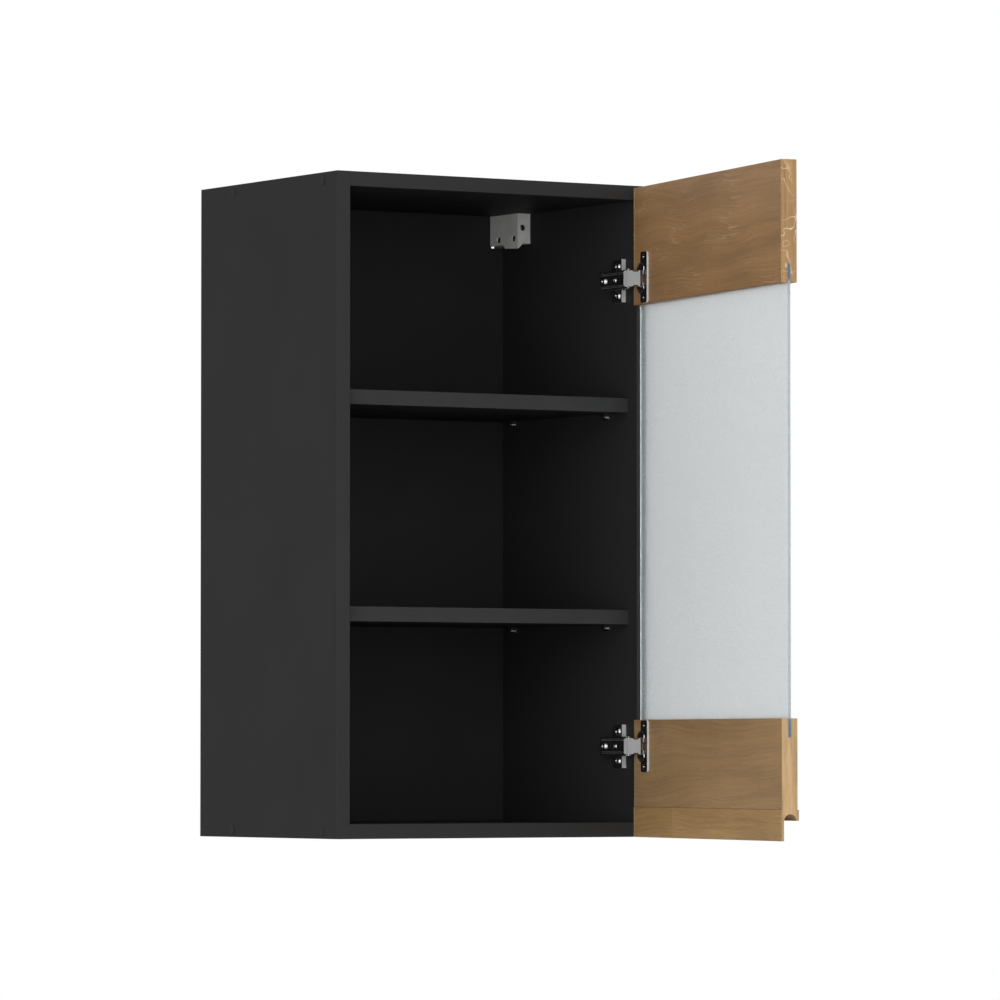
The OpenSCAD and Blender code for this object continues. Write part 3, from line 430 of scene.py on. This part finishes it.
def board(name, colour, rough, cloud=0.05):
    """Dark laminated board, or any wood-based board with a printed or sanded face."""
    made, tree, shader, relief, place = surface(name, bump=0.10, depth=0.00004, specular=0.06)
    face = put_effect(tree, LAMINATE, place, Colour=colour, Roughness=rough, Cloud=cloud)
    feed(tree, shader.inputs["Base Color"], face.outputs["Colour"])
    join_sheen_and_relief(tree, face, shader, relief)
    lay_out(tree)
    return made


def plated(name, colour, rough, rolled=None, cut_tone_and_painted_light=NICKEL_CUT_AND_HIGHLIGHT):
    """Plated steel. Where a rolled direction is given, faces that look another way are sheared metal, in
    a cut colour that paints light on them: a painted highlight by default, painted shade on the arms.
    """
    made, tree, shader, relief, place = surface(name, bump=0.05, depth=0.00003, metallic=1.0)
    metal = put_effect(tree, PLATED, place, Colour=colour, Roughness=rough, Cut_Colour=cut_tone_and_painted_light)
    feed(tree, shader.inputs["Base Color"], metal.outputs["Colour"])
    join_sheen_and_relief(tree, metal, shader, relief)
    if rolled is not None:
        feed(tree, metal.inputs["Cut"], 1.0)
        feed(tree, metal.inputs["Axis"], rolled)
        feed(tree, metal.inputs["Facing"], place.node.outputs["Normal"])
        feed(tree, shader.inputs["Metallic"], metal.outputs["Metallic"])
    lay_out(tree)
    return made


def moulded(name, colour, rough, specular=0.5):
    made, tree, shader, relief, place = surface(name, bump=0.12, depth=0.00005, specular=specular)
    skin = put_effect(tree, MOULDED, place, Colour=colour, Roughness=rough)
    feed(tree, shader.inputs["Base Color"], skin.outputs["Colour"])
    join_sheen_and_relief(tree, skin, shader, relief)
    lay_out(tree)
    return made


def door_place(tree, place, shift=(0.0, 0.0, 0.0)):
    """Object coordinates turned to the door's own directions."""
    corner = Matrix.Rotation(DOOR_TURN, 3, "Z") @ DOOR_CORNER
    return mapped(tree, place, turn=(0.0, 0.0, DOOR_TURN), shift=tuple(Vector(shift) - corner))


def door_part(tree, own, axis, low, high, values):
    """A value that goes from the first to the second between two places along a door's direction."""
    split = node(tree, "ShaderNodeSeparateXYZ", {0: own})
    return spread(tree, split.outputs[axis], (low, high), values)


def in_bore(tree, own):
    """1 inside the bores of both hinge cups and 0 outside them."""
    heights = [height - DOOR_CORNER.z for height in HINGE_HEIGHTS.values()]
    middle = sum(heights) / 2
    split = node(tree, "ShaderNodeSeparateXYZ", {0: own})
    aside = maths(tree, "SUBTRACT", split.outputs["X"], CUP_FROM_EDGE)
    above = maths(tree, "ABSOLUTE", maths(tree, "SUBTRACT", split.outputs["Z"], middle))
    above = maths(tree, "SUBTRACT", above, max(heights) - middle)
    off_axis = maths(tree, "SQRT", maths(tree, "ADD", maths(tree, "MULTIPLY", aside, aside),
                                         maths(tree, "MULTIPLY", above, above)))
    return spread(tree, off_axis, (BORE_RADIUS, BORE_RADIUS + SOFT), FALLS)


def cup_metal(name):
    """Plated cup: rolled faces along the door's own direction, and painted shade inside the bore, a dark
    and less metallic wall.
    """
    made = plated(name, NICKEL, rough=0.16, rolled=DOOR_FACING)
    tree = made.node_tree
    shader = tree.nodes["Principled BSDF"]
    bore = in_bore(tree, door_place(tree, tree.nodes["Texture Coordinate"].outputs["Object"]))
    lit = shader.inputs["Base Color"].links[0].from_socket
    shine = shader.inputs["Metallic"].links[0].from_socket
    # painted shade: the wall inside the bore is darkened and loses its metal shine
    feed(tree, shader.inputs["Base Color"], mix(tree, bore, lit, CUP_BORE_PAINTED_SHADE))
    feed(tree, shader.inputs["Metallic"],
         maths(tree, "MULTIPLY", shine, maths(tree, "SUBTRACT", 1.0, bore)))
    lay_out(tree)
    return made


def block_tone(tree, own):
    """The handle strip's tone: two oak blocks, with the thin dark line of the glue between them."""
    block = door_part(tree, own, "X", BLOCK_JOINT, BLOCK_JOINT + SEAM, (SHORT_BLOCK_SHADE, 1.0))
    near = door_part(tree, own, "X", BLOCK_JOINT - SEAM, BLOCK_JOINT, (1.0, SEAM_SHADE))
    far = door_part(tree, own, "X", BLOCK_JOINT, BLOCK_JOINT + SEAM, (SEAM_SHADE, 1.0))
    return maths(tree, "MULTIPLY", maths(tree, "MAXIMUM", near, far), block)


OAK_CONTRAST = 0.30
END_CONTRAST = 2 * OAK_CONTRAST       # the veneer on the boards' ends
END_TURN = (0.0, math.radians(88.0), 0.0)
END_START = (0.3, 0.2, 0.1)
END_WAVE = 0.01
END_RAYS = 0.35


def oak(name, start, colour, end_colour_and_painted_light, rays, curls=0.0, wave=0.04, joint=False):
    """Oak veneer: broad faces with their grain along the board, and upright strips on its ends, made
    paler as painted light, whose colour also runs onto the faces along the hinge side as a painted
    highlight.
    """
    made, tree, shader, relief, place = surface(name, bump=0.12, depth=0.00006, specular=0.3)
    face = put_effect(tree, OAK, door_place(tree, place, start), Colour=colour,
                      Contrast=OAK_CONTRAST, Wave=wave, Rays=rays)
    join_sheen_and_relief(tree, face, shader, relief)
    own = door_place(tree, place)
    end = put_effect(tree, OAK, mapped(tree, own, turn=END_TURN, shift=END_START), Colour=end_colour_and_painted_light,
                     Contrast=END_CONTRAST, Wave=END_WAVE, Rays=END_RAYS, Curls=curls)
    # the end veneer's colour on the free end, and as a painted highlight along the hinge side's edge
    at_end_and_hinge_highlight = maths(tree, "ADD",
                   door_part(tree, own, "X", DOOR_WIDTH - VENEER, DOOR_WIDTH - VENEER / 2, RISES),
                   door_part(tree, own, "X", VENEER, HINGE_PAINTED_HIGHLIGHT, FALLS))
    body = face.outputs["Colour"]
    if joint:
        body = shaded(tree, body, block_tone(tree, own))
    feed(tree, shader.inputs["Base Color"], mix(tree, at_end_and_hinge_highlight, body, end.outputs["Colour"]))
    lay_out(tree)
    return made


GLASS_CLOUDING = (0.0, 0.3)
GLASS_SHEEN = (0.24, 0.32)


def frosted_glass(name):
    """Satin glass: a pale milky body; the blue-green tint that its cut edges show, with painted shade
    where the edge sits in the rails' slots; and a painted shade near the hinge side on its inner half.
    """
    made, tree, shader, relief, place = surface(name, bump=0.06, depth=0.00004)
    shader.inputs["Transmission Weight"].default_value = GLASS_CLEAR
    shader.inputs["IOR"].default_value = GLASS_IOR
    own = door_place(tree, place)
    # painted shade near the hinge side, on the pane's inner half only
    painted_rim = maths(tree, "MULTIPLY",
                door_part(tree, own, "X", RIM_FROM, RIM_FROM + 2 * SOFT, RISES),
                door_part(tree, own, "X", RIM_TO - RIM_FADE, RIM_TO, FALLS))
    painted_rim = maths(tree, "MULTIPLY", painted_rim,
                door_part(tree, own, "Y", GLASS_MIDDLE - SOFT, GLASS_MIDDLE, FALLS))
    at_cut = door_part(tree, own, "X", DOOR_WIDTH - GLASS_CUT_FROM, DOOR_WIDTH - GLASS_CUT_FULL, RISES)
    in_slots = maths(tree, "MAXIMUM",
                     door_part(tree, own, "Z", GLASS_FROM_FOOT - SOFT, GLASS_FROM_FOOT, FALLS),
                     door_part(tree, own, "Z", GLASS_TO, GLASS_TO + SOFT, RISES))
    cloud = noise(tree, mapped(tree, own, scale=(6.0, 1.0, 0.8)), waves=3.0, detail=3.0)
    body = mix(tree, spread(tree, cloud, NOISE_SPAN, GLASS_CLOUDING), GLASS_BODY, GLASS_CLOUD)
    # inside the rails' slots the cut edge takes painted shade
    edge = mix(tree, in_slots, GLASS_EDGE, GLASS_IN_SLOT_PAINTED_SHADE)
    feed(tree, shader.inputs["Base Color"], mix(tree, at_cut, mix(tree, painted_rim, body, GLASS_RIM_PAINTED_SHADE), edge))
    fine = noise(tree, place, waves=2400.0, detail=2.0, rough=0.6)
    feed(tree, shader.inputs["Roughness"], spread(tree, fine, NOISE_SPAN, GLASS_SHEEN))
    feed(tree, relief.inputs["Height"], fine)
    lay_out(tree)
    return made


# ---------------------------------------------------------------- the liners of the hinge cups

def give_finish(piece, material):
    piece.data.materials.clear()
    piece.data.materials.append(material)


def cut_bowl(piece):
    """Opens a drum at its top and trims it to a flat side above and below, as the links need."""
    bpy.ops.object.mode_set(mode="EDIT")
    bpy.ops.mesh.select_all(action="DESELECT")
    bpy.ops.object.mode_set(mode="OBJECT")
    for face in piece.data.polygons:
        face.select = face.normal.z > FACES_UP
    bpy.ops.object.mode_set(mode="EDIT")
    bpy.ops.mesh.delete(type="ONLY_FACE")
    for side in (1.0, -1.0):
        bpy.ops.mesh.select_all(action="SELECT")
        bpy.ops.mesh.bisect(plane_co=(0.0, side * LINER_HALF, 0.0), plane_no=(0.0, side, 0.0),
                            clear_outer=True)
    bpy.ops.object.mode_set(mode="OBJECT")


def draw_liner():
    """The thin plastic bowl that lines a cup, drawn about +Z with its mouth up."""
    bpy.ops.object.select_all(action="DESELECT")
    bpy.ops.mesh.primitive_cylinder_add(vertices=LINER_SIDES, radius=LINER_RADIUS,
                                        depth=LINER_FLOOR - LINER_LIP)
    piece = bpy.context.object
    cut_bowl(piece)
    wall = piece.modifiers.new("Wall", "SOLIDIFY")
    wall.thickness = LINER_WALL
    wall.offset = -1.0
    soft = piece.modifiers.new("Soft edges", "BEVEL")
    soft.width = LINER_WALL / 4
    soft.segments = 2
    for name in ("Wall", "Soft edges"):
        bpy.ops.object.modifier_apply(modifier=name)
    bpy.ops.object.shade_smooth_by_angle(angle=SMOOTH_BELOW)
    return piece


def seat_liner(drawn, level, material):
    """A copy of the drawn liner, seated in one hinge's cup."""
    piece = bpy.data.objects.new("cup_liner_" + level, drawn.data.copy())
    bpy.context.collection.objects.link(piece)
    piece.data.name = piece.name
    mouth_out = Matrix.Rotation(math.radians(90.0), 4, "X")
    in_door = Matrix.Translation((CUP_FROM_EDGE, (LINER_LIP + LINER_FLOOR) / 2,
                                  HINGE_HEIGHTS[level] - DOOR_CORNER.z))
    door_to_row = Matrix.Translation(DOOR_CORNER) @ Matrix.Rotation(-DOOR_TURN, 4, "Z")
    piece.data.transform(door_to_row @ in_door @ mouth_out)
    give_finish(piece, material)
    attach(piece, "door")


def line_cups(material):
    drawn = draw_liner()
    for level in HINGE_HEIGHTS:
        seat_liner(drawn, level, material)
    bpy.data.objects.remove(drawn)


# ---------------------------------------------------------------- the CAD nodes' finishes

def finish_nodes(finishes):
    """Every CAD node takes the first finish whose list of name starts fits it."""
    for name, piece in NODES.items():
        for starts, material in finishes:
            if name.startswith(starts):
                give_finish(piece, material)
                break
        else:
            raise ValueError("no finish for " + name)


# ---------------------------------------------------------------- stage, light and camera

FLOOR_LEVEL = -2.1
FLOOR_SIDE = 28.0
FLOOR_GREY = (0.35, 0.35, 0.35)
FLOOR_ROUGH = 0.9
FLOOR_WHITE = 0.98                    # share of plain white that the floor shows
SKY_STRENGTH = 0.79
WHITE = (1.0, 1.0, 1.0)
LAMP_AIM = Vector((0.0, -0.2, -0.35))
LAMPS = (
    # name, place, width, height, watts
    ("Key", Vector((-3.3, -3.1, -0.30)), 6.0, 3.2, 127.0),
    ("Front fill", Vector((1.6, -4.6, 0.0)), 3.2, 2.6, 30.0),
)
EYE = Vector((-3.8641, -6.5408, -0.6177))
VIEW_TURN = math.radians(31.804)      # right of the cabinet's own depth
VIEW_RISE = math.radians(2.138)
VIEW_SCALE = 6.7325                   # frame widths per unit of tangent
SENSOR = 36.0                         # the camera's sensor, in millimetres
CLIP_END = 100.0


def white_where_seen(tree, own, white, rays, share=1.0):
    """The share of white that the named kinds of ray see. All other light meets the own shade."""
    path = node(tree, "ShaderNodeLightPath")
    seen = path.outputs[rays[0]]
    for kind in rays[1:]:
        seen = maths(tree, "MAXIMUM", seen, path.outputs[kind])
    both = node(tree, "ShaderNodeMixShader", {"Fac": maths(tree, "MULTIPLY", seen, share)})
    feed(tree, both.inputs[1], own)
    feed(tree, both.inputs[2], white)
    return both.outputs[0]


def floor_paint(name):
    made = bpy.data.materials.new(name)
    made.use_nodes = True
    tree = made.node_tree
    shader = tree.nodes["Principled BSDF"]
    feed(tree, shader.inputs["Base Color"], FLOOR_GREY)
    feed(tree, shader.inputs["Roughness"], FLOOR_ROUGH)
    white = node(tree, "ShaderNodeEmission", {"Color": WHITE, "Strength": 1.0}).outputs[0]
    seen = white_where_seen(tree, shader.outputs[0], white,
                            ("Is Camera Ray", "Is Glossy Ray", "Is Transmission Ray"), FLOOR_WHITE)
    feed(tree, tree.nodes["Material Output"].inputs["Surface"], seen)
    lay_out(tree)
    return made


def lay_floor():
    bpy.ops.object.select_all(action="DESELECT")
    bpy.ops.mesh.primitive_plane_add(size=FLOOR_SIDE, location=(0.0, 0.0, FLOOR_LEVEL))
    floor = bpy.context.object
    floor.name = "floor"
    give_finish(floor, floor_paint("Floor"))


def light_sky():
    world = bpy.data.worlds.new("Studio")
    SCENE.world = world
    world.use_nodes = True
    tree = world.node_tree
    sky = tree.nodes["Background"]
    feed(tree, sky.inputs["Color"], WHITE)
    feed(tree, sky.inputs["Strength"], SKY_STRENGTH)
    white = node(tree, "ShaderNodeBackground", {"Color": WHITE, "Strength": 1.0}).outputs[0]
    seen = white_where_seen(tree, sky.outputs[0], white, ("Is Camera Ray", "Is Transmission Ray"))
    feed(tree, tree.nodes["World Output"].inputs["Surface"], seen)
    lay_out(tree)


def hang_softbox(name, place, width, height, watts):
    lamp = bpy.data.lights.new(name, "AREA")
    lamp.shape = "RECTANGLE"
    lamp.size = width
    lamp.size_y = height
    lamp.energy = watts
    holder = bpy.data.objects.new(name, lamp)
    SCENE.collection.objects.link(holder)
    holder.location = place
    holder.rotation_euler = (LAMP_AIM - place).to_track_quat("-Z", "Y").to_euler()


def stand_camera():
    camera = bpy.data.cameras.new("Camera")
    camera.sensor_width = SENSOR
    camera.lens = SENSOR * VIEW_SCALE
    camera.clip_end = CLIP_END
    holder = bpy.data.objects.new("Camera", camera)
    SCENE.collection.objects.link(holder)
    level = math.cos(VIEW_RISE)
    ahead = Vector((math.sin(VIEW_TURN) * level, math.cos(VIEW_TURN) * level, math.sin(VIEW_RISE)))
    holder.location = EYE
    holder.rotation_euler = ahead.to_track_quat("-Z", "Y").to_euler()
    SCENE.camera = holder


# ---------------------------------------------------------------- making it all

stand_camera()
lay_floor()
light_sky()
for lamp in LAMPS:
    hang_softbox(*lamp)
SCENE.view_settings.view_transform = "Standard"

finish_nodes([
    (("side_", "top_panel", "bottom_panel"), board("Carcass board", BOARD, rough=0.52)),
    (("shelf_upper", "shelf_lower"), board("Shelf board", BOARD, rough=0.52)),
    (("shelf_supports",), plated("Support steel", ZINC, rough=0.25)),
    (("back_panel",), board("Back board", BACK_BOARD, rough=0.50)),
    # the shelves' banding is made paler as painted light
    (("edge_band_shelf",), board("Shelf banding in painted light", SHELF_BAND_PAINTED_LIGHT, rough=0.48, cloud=0.03)),
    (("edge_band",), board("Edge banding", BAND_DARK, rough=0.48, cloud=0.03)),
    (("screw_caps",), moulded("Cap plastic", CAP_DARK, rough=0.5, specular=0.08)),
    (("dowels",), board("Beech", BEECH, rough=0.6)),
    (("corner_screws", "hanger_screws", "plate_screws", "arm_screws", "cup_screws", "arm_pins",
      "cup_pins"), plated("Screw steel", NICKEL, rough=0.18)),
    (("hanger_cover",), moulded("Hanger plastic", HANGER_GREY, rough=0.5, specular=0.3)),
    # the bracket's colour is darkened as painted shade inside the cover
    (("hanger_bracket",), plated("Hanger steel in painted shade", HANGER_STEEL_PAINTED_SHADE, rough=0.65)),
    (("hanger_hook",), plated("Zinc steel", ZINC, rough=0.45)),
    (("hinge_plate",), plated("Nickel plate", NICKEL, rough=0.16, rolled=ACROSS)),
    # the arm's sheared faces take painted shade
    (("hinge_arm",), plated("Nickel arm", NICKEL, rough=0.16, rolled=ACROSS, cut_tone_and_painted_light=ARM_CUT_PAINTED_SHADE)),
    (("hinge_cup",), cup_metal("Nickel cup")),
    # the links' nickel is darkened as painted shade on their reflection
    (("outer_link", "inner_link"), plated("Link nickel in painted shade", NICKEL_LINK_PAINTED_SHADE, rough=0.30, rolled=LINK_FACING)),
    (("door_rail_top",), oak("Oak of the top rail", start=(0.0, 0.0, 0.0), colour=TOP_OAK,
                             end_colour_and_painted_light=TOP_END_OAK_PAINTED_LIGHT, rays=0.16, curls=0.8)),
    (("door_rail_bottom",), oak("Oak of the bottom rail", start=(0.9, 0.3, 0.7), colour=LOW_OAK,
                                end_colour_and_painted_light=LOW_END_OAK_PAINTED_LIGHT, rays=0.06, wave=-0.05)),
    (("handle_strip",), oak("Oak of the handle strip", start=(1.7, 0.6, 1.3), colour=STRIP_OAK,
                            end_colour_and_painted_light=LOW_END_OAK_PAINTED_LIGHT, rays=0.14, joint=True)),
    (("glass_pane",), frosted_glass("Frosted glass")),
])
line_cups(moulded("Cup liner plastic", LINER_BROWN, rough=0.35))
